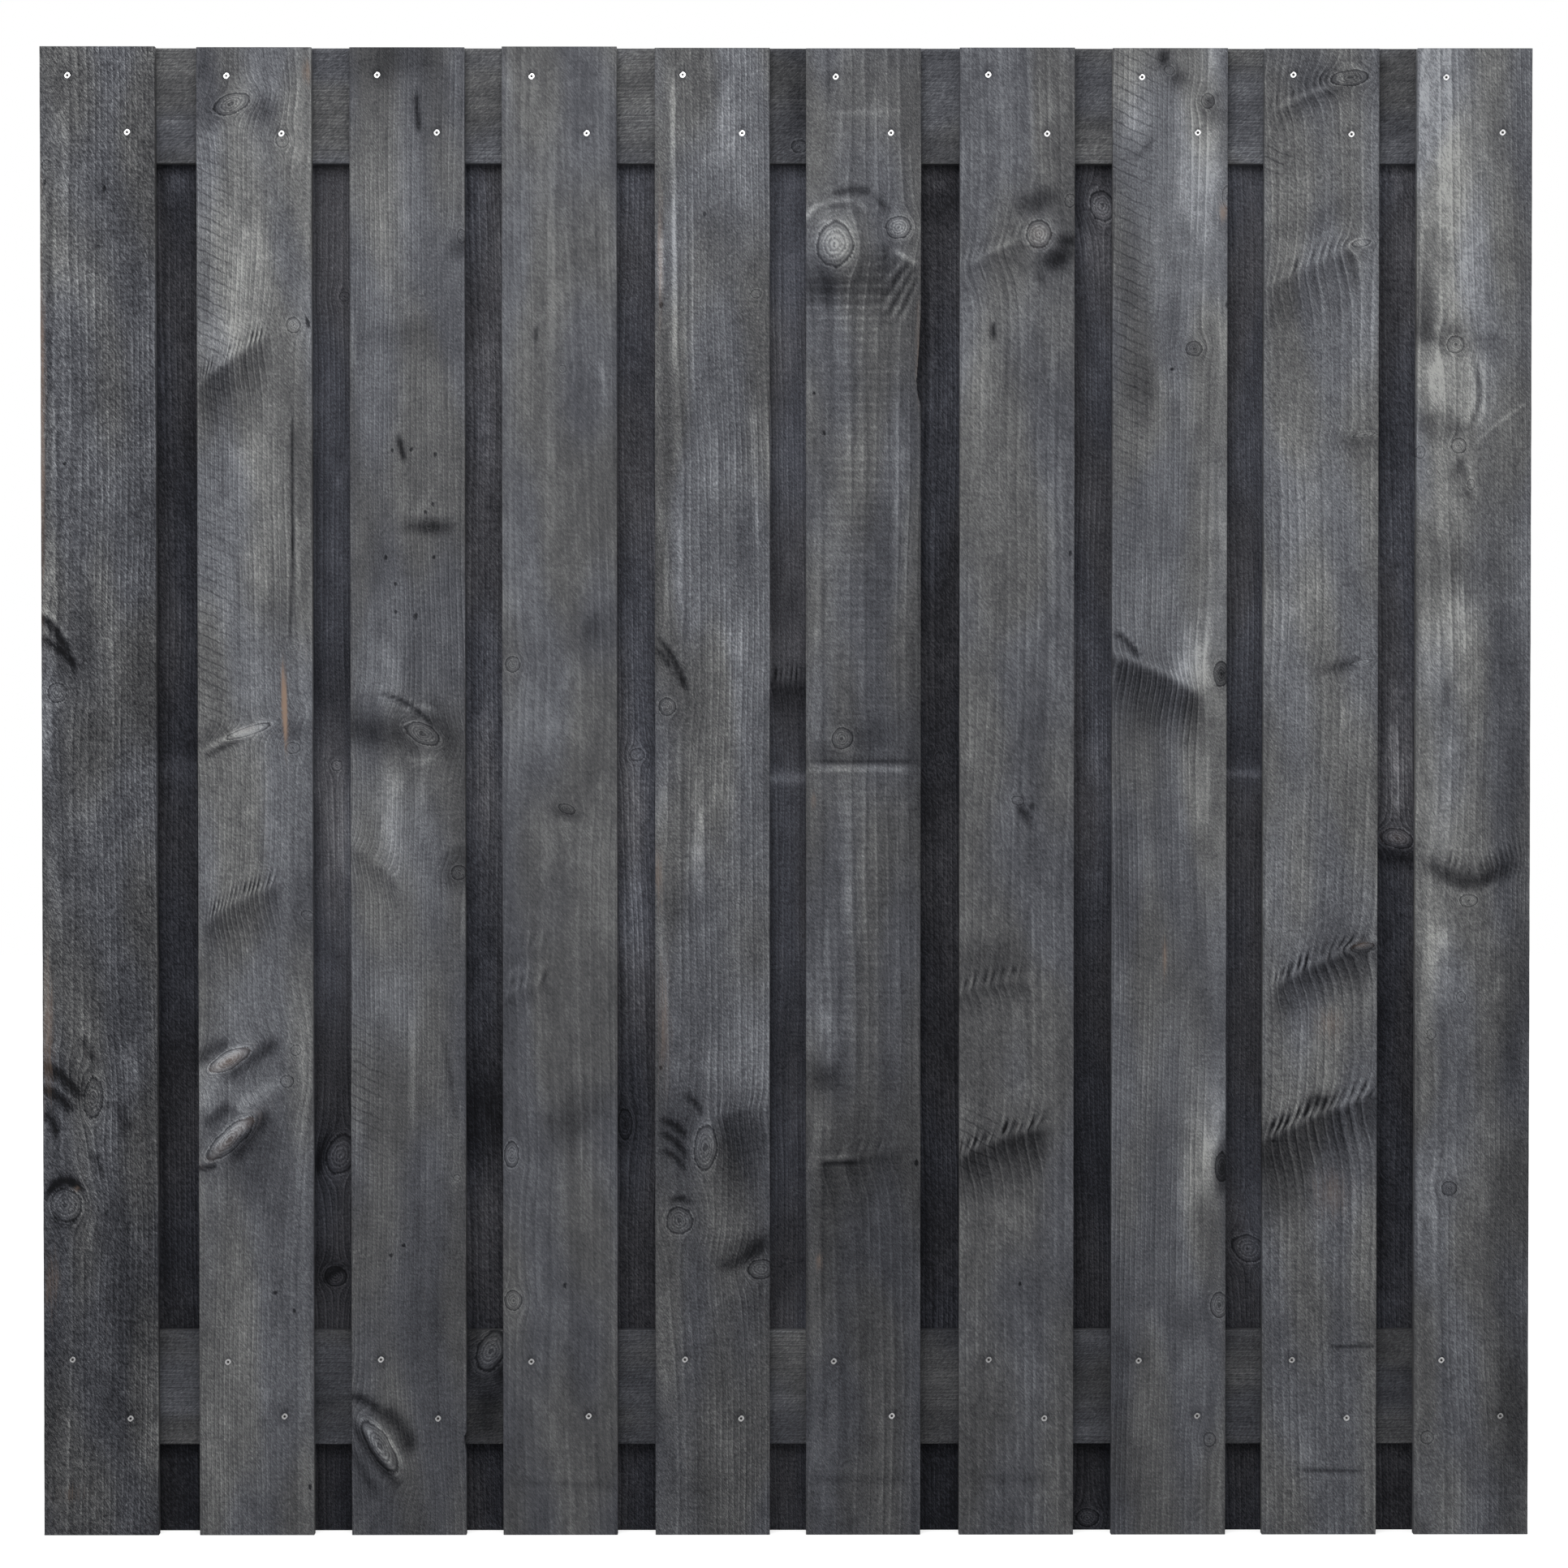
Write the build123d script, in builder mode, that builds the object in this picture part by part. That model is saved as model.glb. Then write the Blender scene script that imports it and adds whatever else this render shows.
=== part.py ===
from build123d import *
import math
import os

# A timber fence panel, closed on both faces: vertical boards are screwed to the front of two
# horizontal rails, and a second row behind the rails covers the gaps between them.
# Frame: X runs along the panel, the front faces -Y, Z is up from the boards' lower ends.
# All sizes are in millimetres.

# Panel
panel_width = 1800.0
panel_height = 1800.0

# Sawn stock, the same for boards and rails
board_width = 139.0
board_thickness = 16.0
arris = 1.0

# Rails
bottom_rail_height = 108.0  # from the ground to the rail's lower edge
top_rail_height = panel_height - board_width  # its upper edge is level with the boards

# The gaps between the front boards, from left to right, as the boards were laid out by hand
front_gaps = [49.5, 45.5, 44.5, 45.5, 43.5, 46.5, 45.5, 44.0, 45.5]

# How far each front board's upper end stops short of the panel's full height
front_shortfall = [0.0, 1.0, 1.0, 0.0, 1.5, 2.0, 1.0, 1.5, 2.0, 1.5]

# Countersunk screws, a pair on a diagonal wherever a board crosses a rail
head_radius = 3.8
shank_radius = 2.0
head_depth = 2.0
screw_length = 30.0
point_length = 5.0
screw_inset = 35.0  # from the edges of the board and of the rail
screw_stray = 1.5  # how far a hand-driven screw may stand off its mark

# Torn arris below the two big knots of front board 6, and the broken edge low on front board 3
torn_top = 1488.0
torn_length = 118.0
torn_depth = 6.0
broken_top = 123.0
broken_length = 23.0
broken_depth = 3.4

# Each screw is kept to eight flats, so that the whole set stays light
flats = 8

# Worked out from the sizes above
front_face = -1.5 * board_thickness
rail_front = -0.5 * board_thickness
rail_back = 0.5 * board_thickness
back_face = 1.5 * board_thickness
rail_heights = [bottom_rail_height, top_rail_height]

front_centres = []
left_edge = -panel_width / 2
for gap in front_gaps + [0.0]:
    front_centres.append(left_edge + board_width / 2)
    left_edge += board_width + gap

back_centres = []
for left, right in zip(front_centres, front_centres[1:]):
    back_centres.append((left + right) / 2)


def stray(number):
    """A screw's small offset from its mark, spread evenly about zero by the golden angle."""
    angle = number * math.radians(137.5)
    return screw_stray * math.sin(angle), screw_stray * math.cos(angle)


def screw_marks(centre, count_before):
    """Where the four screws of one board go, as (x, z): upper left and lower right on each rail."""
    marks = []
    for height in rail_heights:
        left = (centre - board_width / 2 + screw_inset, height + board_width - screw_inset)
        right = (centre + board_width / 2 - screw_inset, height + screw_inset)
        for x, z in (left, right):
            dx, dz = stray(count_before + len(marks))
            marks.append((x + dx, z + dz))
    return marks


def mirrored(marks, centre):
    """The marks of a back board: upper left and lower right as seen from behind."""
    return [(2 * centre - x, z) for x, z in marks]


def facing(marks, depth, outward):
    """Planes on the face at y = depth, one at each mark, that look outward along Y."""
    return [Plane(origin=(x, depth, z), x_dir=(1, 0, 0), z_dir=(0, outward, 0)) for x, z in marks]


# One screw, head up: its top lies on Z = 0 and its point hangs below
with BuildPart() as screw:
    with BuildSketch(Plane.XY):
        RegularPolygon(head_radius, flats)
    with BuildSketch(Plane.XY.offset(-head_depth)):
        RegularPolygon(shank_radius, flats)
    loft(ruled=True)
    with BuildSketch(Plane.XY.offset(-head_depth)):
        RegularPolygon(shank_radius, flats)
    extrude(amount=-(screw_length - head_depth - point_length))
    with BuildSketch(Plane.XY.offset(point_length - screw_length), mode=Mode.PRIVATE) as shoulder:
        RegularPolygon(shank_radius, flats)
    loft([shoulder.sketch, Vertex(0, 0, -screw_length)], ruled=True)


def plank(label, centre, depth, top, screws, damage=None):
    """One upright board: its section is drawn on the ground and drawn out to its own length.

    depth is the Y of the board's middle, screws are the planes of the screws that hold it,
    and damage is an outline on the board's front elevation of wood that has broken away.
    """
    with BuildPart() as board:
        with BuildSketch(Plane.XY):
            with Locations((centre, depth)):
                Rectangle(board_width, board_thickness)
        extrude(amount=top)
        chamfer(board.edges().filter_by(Axis.Z), length=arris)
        if damage:
            with BuildSketch(Plane.XZ):
                with BuildLine():
                    damage(centre + board_width / 2)
                make_face()
            extrude(amount=2 * board_thickness, both=True, mode=Mode.SUBTRACT)
        with Locations(*screws):
            add(screw.part, mode=Mode.SUBTRACT)
    board.part.label = label
    export_step(board.part, f"parts/{label}.step")


def rail(label, height, screws):
    """One horizontal rail, the same stock on edge, with the screws' blind holes in both faces."""
    with BuildPart() as bar:
        with BuildSketch(Plane.YZ.offset(-panel_width / 2)):
            with Locations((0, height + board_width / 2)):
                Rectangle(board_thickness, board_width)
        extrude(amount=panel_width)
        chamfer(bar.edges().filter_by(Axis.X), length=arris)
        with Locations(*screws):
            add(screw.part, mode=Mode.SUBTRACT)
    bar.part.label = label
    export_step(bar.part, f"parts/{label}.step")


def screw_set(label, planes):
    """All the screws of one face, as separate solids in one node."""
    with BuildPart() as group:
        with Locations(*planes):
            add(screw.part)
    group.part.label = label
    export_step(group.part, f"parts/{label}.step")


def torn_arris(edge):
    """The arris torn out under the knots: a long shallow bite that is deepest near its lower end."""
    middle = (edge - 0.45 * torn_depth, torn_top - 0.45 * torn_length)
    deepest = (edge - torn_depth, torn_top - 0.78 * torn_length)
    low = (edge, torn_top - torn_length)
    Spline((edge, torn_top), middle, deepest, low)
    Polyline(low, (edge + torn_depth, low[1]), (edge + torn_depth, torn_top), (edge, torn_top))


def broken_corner(edge):
    """The chip by the lower end: a square shoulder above and a slant back out to the edge."""
    shoulder = (edge - broken_depth, broken_top)
    heel = (edge - 0.8 * broken_depth, broken_top - 0.4 * broken_length)
    low = (edge, broken_top - broken_length)
    outside = edge + broken_depth
    Polyline((outside, broken_top), shoulder, heel, low, (outside, low[1]), close=True)


os.makedirs("parts", exist_ok=True)

front_damage = {3: broken_corner, 6: torn_arris}
front_planes = []
for number, (centre, shortfall) in enumerate(zip(front_centres, front_shortfall), start=1):
    planes = facing(screw_marks(centre, len(front_planes)), front_face, -1)
    depth = (front_face + rail_front) / 2
    top = panel_height - shortfall
    plank(f"front_board_{number}", centre, depth, top, planes, front_damage.get(number))
    front_planes += planes

back_planes = []
for number, centre in enumerate(back_centres, start=1):
    marks = screw_marks(centre, len(front_planes) + len(back_planes))
    planes = facing(mirrored(marks, centre), back_face, 1)
    plank(f"back_board_{number}", centre, (rail_back + back_face) / 2, panel_height, planes)
    back_planes += planes

for label, height in (("bottom_rail", bottom_rail_height), ("top_rail", top_rail_height)):
    holding = [p for p in front_planes + back_planes if height < p.origin.Z < height + board_width]
    rail(label, height, holding)

screw_set("front_screws", front_planes)
screw_set("back_screws", back_planes)
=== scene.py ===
import bpy
import math
import numpy as np
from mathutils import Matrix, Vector


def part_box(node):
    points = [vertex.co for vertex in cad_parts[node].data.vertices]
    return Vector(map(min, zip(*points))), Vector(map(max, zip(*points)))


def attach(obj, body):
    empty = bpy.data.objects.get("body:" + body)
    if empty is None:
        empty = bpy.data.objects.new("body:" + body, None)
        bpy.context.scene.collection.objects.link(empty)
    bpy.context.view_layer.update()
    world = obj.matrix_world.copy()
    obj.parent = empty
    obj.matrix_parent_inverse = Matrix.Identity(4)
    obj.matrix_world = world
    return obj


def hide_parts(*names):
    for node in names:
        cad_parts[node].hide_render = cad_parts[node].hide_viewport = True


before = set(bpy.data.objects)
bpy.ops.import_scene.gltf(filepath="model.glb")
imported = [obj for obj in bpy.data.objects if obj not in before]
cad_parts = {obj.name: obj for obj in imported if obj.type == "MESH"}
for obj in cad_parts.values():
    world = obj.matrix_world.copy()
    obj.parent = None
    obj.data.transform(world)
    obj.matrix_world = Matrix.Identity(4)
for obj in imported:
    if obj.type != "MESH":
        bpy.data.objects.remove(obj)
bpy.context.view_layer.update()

# The rails: two lengths of sawn spruce set on edge, which the boards of both rows are screwed to.
# They are cut from the same stock as the boards, and were stained with them after assembly.
stock_thickness = 16.0
arris = 1.0
rail_rows = 190
rail_columns = 37

# A screw's head presses a pit into the face. Five rows and five columns of points make room for it.
pit_radius = 4.4
pit_depth = 4.0
pit_rim_depth = 0.12
pit_block = np.array([-6.0, -3.1, 0.0, 3.1, 6.0])
pit_clearance = 1.25 * pit_block[-1]

# How the fibres wander and the soft wood wears hollow, in waves of these lengths
grain_waves = ((1300, 3.0), (520, 1.2), (230, 0.35))
taper = 0.004
hollow_waves = (310, 120, 47)
hollow_least, hollow_wave, hollow_most = 0.12, 0.04, 1.2
hollow_round_knot, hollow_below_crest = 0.4, 0.5

# How far in from a long edge the points follow where it stands in
edge_reach = 22.0

# Where the saw cut through dipping grain, a dark band lies below a crest that bows up a little.
# It fades out above the crest, where torn fibres make a comb of short teeth.
crest_bow = 5.0
crest_fade = 18.0
comb_above, comb_half = 9.0, 10.0
crest_limit = 40.0

# The figure of each piece. pith is the tree's centre, across and behind the face. A knot, or a small
# mark, is (across, along, half width, half height), and its lean in degrees where it leans. A blot
# has its strength as well, last: patches are paler or darker stain, silver is stain worn thin, bare
# is wood that shows, slant is the saw's slanted cuts and chatter its feed roller's dents. A stroke,
# pale or dark, is its two ends, its bow, its half width and its strength.
rail_figure = {
    "bottom_rail": dict(
        seed=61, pith=(-30.0, 26.0), tone=-0.08, contrast=1.0,
        knots=[(25, 541, 22, 14, -25), (60, 96, 6, 9)],
        patches=[
            (90, 538, 22, 12, -0.2), (30, 518, 26, 7, -0.14), (52, 552, 12, 5, -0.16),
            (70, 200, 40, 60, 0.04), (90, 1500, 40, 90, -0.03), (70, 900, 60, 30, 0.06),
            (70, 529, 60, 30, -0.05),
        ],
        silver=[(100, 540, 12, 10, 30, 0.12), (40, 960, 30, 90, 0.05)],
    ),
    "top_rail": dict(
        seed=62, pith=(170.0, -20.0), tone=-0.02, contrast=1.0,
        knots=[(118, 916, 7, 9)],
        patches=[(60, 915, 60, 14, -0.14), (30, 560, 50, 60, 0.03), (70, 1640, 40, 60, -0.03)],
    ),
}


def figure(wood, across, deep, along):
    """Works out the growth rings, fibres, knots and stain of a piece of timber, in millimetres.

    across is measured from the left edge, deep from the front face and along from the foot.
    The fibres part round a knot as water flows round a post: a fibre's place is its distance
    across, less its offset from the knot over the square of its distance in knot widths. The
    rings are the distance of that place from the pith, the tree's centre line. A stroke is a
    bell curve of the distance from a bowed line that fades at both ends.
    """
    draw = np.random.default_rng(wood["seed"])
    flow = across + 0 * along
    for wavelength, reach in grain_waves:
        turn, slant = draw.uniform(0, 2 * math.pi), draw.uniform(-0.8, 0.8)
        flow = flow + reach * np.sin(2 * math.pi * (along + slant * across) / wavelength + turn)
    # Painted shade: a piece can be darker on its front face, fading to nothing at its back face; on the
    # back boards that face shows in the gaps between the front boards
    tone = wood["tone"] + wood.get("painted_gap_shade", 0.0) * (1 - np.clip(deep / stock_thickness, 0, 1))
    # Painted light: paler towards the head and darker towards the foot, as the lamps' light falls off
    # down the panel
    tone = tone + 0.025 * (along / 900 - 1) * wood.get("painted_light_falloff", 0.0)

    def turned(place, height, lean=0):
        """Offsets from a place, turned by its lean: first across it, then up it."""
        cosine, sine = math.cos(math.radians(lean)), math.sin(math.radians(lean))
        right, rise = across - place, along - height
        return cosine * right + sine * rise, cosine * rise - sine * right

    def nearest_of(places, least, edge):
        """Each point's offset from the nearest of some ellipses, in their half sizes.

        The third number grows beyond the edge, so that no false centre shows between two points.
        """
        best = np.stack([9.0 + 0 * along] * 3)
        least_distance = 9.0 + 0 * along
        for place, height, half_width, half_height, *lean in places:
            aside, above = turned(place, height, *lean)
            aside, above = aside / max(half_width, least), above / max(half_height, least)
            distance = np.hypot(aside, above)
            lift = 3 * np.maximum(distance - edge, 0)
            closer = distance < least_distance
            best = np.where(closer, np.stack([aside, above, lift]), best)
            least_distance = np.where(closer, distance, least_distance)
        return best

    def blots(name):
        """Adds up soft-edged blots, each a bell curve about its place, leaning as it says."""
        blotted = 0 * along
        for place, height, wide, high, *lean, strength in wood.get(name, ()):
            aside, above = turned(place, height, *lean)
            blotted = blotted + strength * np.exp(-0.5 * ((aside / wide) ** 2 + (above / high) ** 2))
        return blotted

    for place, height, half_width, half_height, *lean in wood.get("knots", ()):
        aside, above = turned(place, height, *lean)
        distance = np.hypot(aside / half_width, above / half_height)
        flow = flow - (across - place) / np.maximum((distance / 1.25) ** 2, 1)

    below = crest_limit + 0 * along
    shade, teeth = 0 * along, 0 * along
    for left, left_height, right, right_height, reach, dark, bend, comb in wood.get("bands", ()):
        share = (across - left) / (right - left)
        bow = crest_bow * np.sin(math.pi * np.clip(share, 0, 1))
        crest = left_height + (right_height - left_height) * share + bow
        drop = crest - along
        ends = np.clip((share + 0.05) * 5, 0, 1) * np.clip((1.05 - share) * 5, 0, 1)
        ends = ends * ends * (3 - 2 * ends)
        away = np.where(drop > 0, drop / reach, drop / crest_fade)
        flow = flow + bend * ends * np.exp(-np.where(drop > 0, 1.6 * away ** 2, -away))
        here = dark * ends * np.exp(-np.where(drop > 0, away ** 2, -away))
        teeth = teeth + comb * ends * np.exp(-((drop + comb_above) / comb_half) ** 2)
        below = np.where(here > shade, np.clip(drop, -crest_limit, crest_limit), below)
        shade = np.maximum(shade, here)

    for start, low, end, high, bow, half, strength in wood.get("strokes", ()):
        run, climb = end - start, high - low
        length = math.hypot(run, climb)
        share = ((across - start) * run + (along - low) * climb) / length ** 2
        aside = ((along - low) * run - (across - start) * climb) / length
        aside = aside - 4 * bow * share * (1 - share)
        ends = np.clip(5 * share, 0, 1) * np.clip(5 * (1 - share), 0, 1)
        tone = tone + strength * ends * np.exp(-0.5 * (aside / half) ** 2)

    pith_across, pith_deep = wood["pith"]
    rings = np.hypot(flow - pith_across, deep - pith_deep) + taper * along
    apart = 40 * wood["seed"]  # keeps the pieces apart in the noise, so that no two are alike
    return {
        "place": np.stack([across + 0 * along, deep + apart, along]),
        "grain": np.stack([flow, deep + apart, along]),
        "rings": rings / wood.get("ring_width", 4.2),
        "knot_at": nearest_of(wood.get("knots", ()), 0.5, 1.9),
        "mark_at": nearest_of(wood.get("marks", ()), 2.4, 1.5),
        "stain": np.stack([tone + blots("patches"), blots("bare"), blots("silver")]),
        "band": np.stack([below, shade, teeth]),
        "tool": np.stack([blots("slant"), blots("chatter"), wood.get("contrast", 1.0) + 0 * along]),
    }


def timber(name, wood, size, place, columns, rows, step=1, edges=None, pits=()):
    """Makes a closed length of timber: its section is a ring of points carried up the piece.

    size is its width, thickness and length, and place turns across, deep and along into the
    frame's x, y and z. columns gives the front face's points across at the foot and at the head,
    and every point, or every second one with a step of 2, has its match on the back. edges says
    how far each long edge stands in. A pit is (column, row, across, along, which way it opens):
    its middle point sinks, and the eight round it stand on a circle.
    """
    width, thickness, length = size
    foot, head = columns
    side_in = np.array([0.3, 0.0, 0.0, 0.0, 0.0, 0.3]) * arris
    side_deep = np.array([0.3 * arris, arris, 0.36 * thickness, 0.68 * thickness,
                          thickness - arris, thickness - 0.3 * arris])
    front, back, side = len(foot), len(foot[::step]), len(side_in)
    share = (rows / length)[:, None]
    face = foot * (1 - share) + head * share
    right_side = np.broadcast_to(width - side_in, (len(rows), side))
    left_side = np.broadcast_to(side_in, (len(rows), side))
    across = np.concatenate([face, right_side, face[:, ::-step], left_side], axis=1)
    deep = np.concatenate([np.zeros(front), side_deep, np.full(back, thickness), side_deep[::-1]])
    deep = np.broadcast_to(deep, across.shape).copy()
    along = np.broadcast_to(rows[:, None], across.shape).copy()
    if edges is not None:
        left_in, right_in = edges(along)
        near_right = np.clip(1 - (width - across) / edge_reach, 0, 1) ** 1.5
        near_left = np.clip(1 - across / edge_reach, 0, 1) ** 1.5
        across = across - right_in * near_right + left_in * near_left
    facts = figure(wood, across, deep, along)

    draw = np.random.default_rng(wood["seed"] + 500)
    hollow = np.full_like(across, hollow_least)
    for wavelength in hollow_waves:
        turn, slant = draw.uniform(0, 2 * math.pi), draw.uniform(-2, 2)
        wave = np.sin(2 * math.pi * (along + slant * across) / wavelength + turn)
        hollow = hollow + hollow_wave * wave
    knot_distance = np.sqrt((facts["knot_at"] ** 2).sum(axis=0))
    hollow = hollow + hollow_round_knot * np.exp(-((knot_distance - 1.25) / 0.3) ** 2)
    hollow = hollow + hollow_below_crest * facts["band"][1] * np.clip(facts["band"][0] / 8, 0, 1)
    in_from_edge = np.clip(np.minimum(across, width - across) / 5, 0, 1)
    in_from_end = np.clip(np.minimum(along, length - along) / 4, 0, 1)
    inwards = np.zeros(across.shape[1])
    inwards[:front] = 1
    inwards[front + side:front + side + back] = -1
    deep = deep + inwards * np.clip(hollow, 0, hollow_most) * in_from_edge * in_from_end

    last = front + side + back - 1
    for column, row, middle_across, middle_along, outward in pits:
        column = column if outward < 0 else last - column
        block = np.ix_(range(row - 1, row + 2), range(column - 1, column + 2))
        aside, above = across[block] - middle_across, along[block] - middle_along
        reach = np.hypot(aside, above)
        out = np.where(reach > 1, pit_radius / np.maximum(reach, 1), 0)
        across[block] = middle_across + aside * out
        along[block] = middle_along + above * out
        surface = 0.0 if outward < 0 else thickness
        deep[block] = surface - outward * np.where(reach > 1, pit_rim_depth, pit_depth)

    points = np.stack(place(across, deep, along), axis=-1) / 1000
    count, around = across.shape
    numbers = np.arange(count * around).reshape(count, around)
    following = np.roll(numbers, -1, axis=1)
    walls = np.stack([numbers[:-1], following[:-1], following[1:], numbers[1:]], axis=-1)
    walls = walls.reshape(-1, 4).tolist()
    ends = []
    for ring, turn in ((numbers[0].tolist(), -1), (numbers[-1].tolist(), 1)):
        for i in range(back - 1):
            strip = ring[step * i:step * (i + 1) + 1] + [ring[last - i - 1], ring[last - i]]
            ends.append(strip[::turn])
        ends.append(ring[front - 1:front + side + 1][::turn])
        ends.append((ring[last:] + ring[:1])[::turn])
    mesh = bpy.data.meshes.new(name)
    mesh.from_pydata(points.reshape(-1, 3).tolist(), [], walls + ends)
    smooth = np.arange(len(walls) + len(ends)) < len(walls)
    mesh.polygons.foreach_set("use_smooth", smooth)
    facts["end"] = np.zeros_like(across)
    facts["end"][[0, -1]] = 1
    for label, values in facts.items():
        if values.ndim == 3:
            layer = mesh.attributes.new(label, "FLOAT_VECTOR", "POINT")
            layer.data.foreach_set("vector", np.moveaxis(values, 0, -1).astype(np.float32).ravel())
        else:
            layer = mesh.attributes.new(label, "FLOAT", "POINT")
            layer.data.foreach_set("value", values.astype(np.float32).ravel())
    mesh.update()
    piece = bpy.data.objects.new(name, mesh)
    bpy.context.scene.collection.objects.link(piece)
    return piece


def packed_rows(length, count, busy, screws=()):
    """Heights for the rows of points: packed near the busy heights, with one 0.4 mm from each end.

    Rows stand where a running total of the wanted closeness passes even steps. At each screw's
    height they make room for five rows that carry its pit.
    """
    fine = np.linspace(0, length, 4000)
    wanted = np.ones_like(fine)
    for height, half in busy:
        wanted = np.maximum(wanted, 1 + 2.4 * np.exp(-((fine - height) / (1.3 * half + 8)) ** 2))
    total = np.concatenate([[0], np.cumsum((wanted[1:] + wanted[:-1]) / 2)])
    rows = np.interp(np.linspace(0, total[-1], count), total, fine)
    rows = rows[(rows > 2) & (rows < length - 2)]
    for height in screws:
        rows = rows[np.abs(rows - height) > pit_clearance]
        rows = np.concatenate([rows, height + pit_block])
    return np.sort(np.concatenate([rows, [0, 0.4, length - 0.4, length]]))


def linear(code):
    """A colour given as sRGB hex, in the linear values that a shader takes."""
    parts = [int(code[i:i + 2], 16) / 255 for i in (1, 3, 5)]
    return [c / 12.92 if c <= 0.04045 else ((c + 0.055) / 1.055) ** 2.4 for c in parts] + [1.0]


def add(tree, kind, links=(), **settings):
    """A new shader node with its own settings. Each link is an input with a number or a socket."""
    node = tree.nodes.new("ShaderNode" + kind)
    for name, value in settings.items():
        setattr(node, name, value)
    for name, value in links:
        if isinstance(value, bpy.types.NodeSocket):
            tree.links.new(value, node.inputs[name])
        else:
            node.inputs[name].default_value = value
    return node


# The grain and the tools' traces, in millimetres. A row is a noise's specks across and along, how
# finely it is broken up, its lean in degrees, and whether it follows the bent fibres.
noise_sizes = (
    (1.5, 34.0, 1.0, 0.0, True),  # fibres, drawn coarser than the real 0.3 mm to show in a picture
    (9.0, 300.0, 1.0, 0.0, True),  # streaks of stain along the grain
    (70.0, 170.0, 2.0, 0.0, False),  # how unevenly the brush was loaded
    (15.0, 30.0, 2.0, 0.0, False),  # clouds of stain
    (1.1, 4.2, 1.0, -35.0, False),  # the saw's fuzz, leaning as the blade went, also drawn coarser
    (1.0, 1.3, 0.0, 0.0, False),  # specks of pigment
    (26.0, 2.6, 1.0, 0.0, False),  # the blade's faint level lines
    (60.0, 200.0, 0.0, 0.0, False),  # where the grey turns from cool to warm
)
saw_pitch, saw_slope = 14.0, 0.466
roller_pitch = 13.0

# A growth ring in one turn from 0 to 1: soft early wood is dark, hard late wood pale with a sharp end
ring_profile = ((0.0, 0.0), (0.12, 0.1), (0.26, 0.42), (0.58, 0.4), (0.78, 0.85), (0.87, 1.0))
# The stain's greys, from a thick film to hardly any
stain_greys = ((0.22, "#232428"), (0.42, "#404145"), (0.6, "#5a5b5f"), (0.8, "#7f8184"))
thickest_stain, thinnest_stain = "#0e0f12", "#b0b2b4"
bare_spruce = "#927c6d"
overall_grey = 0.16


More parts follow.
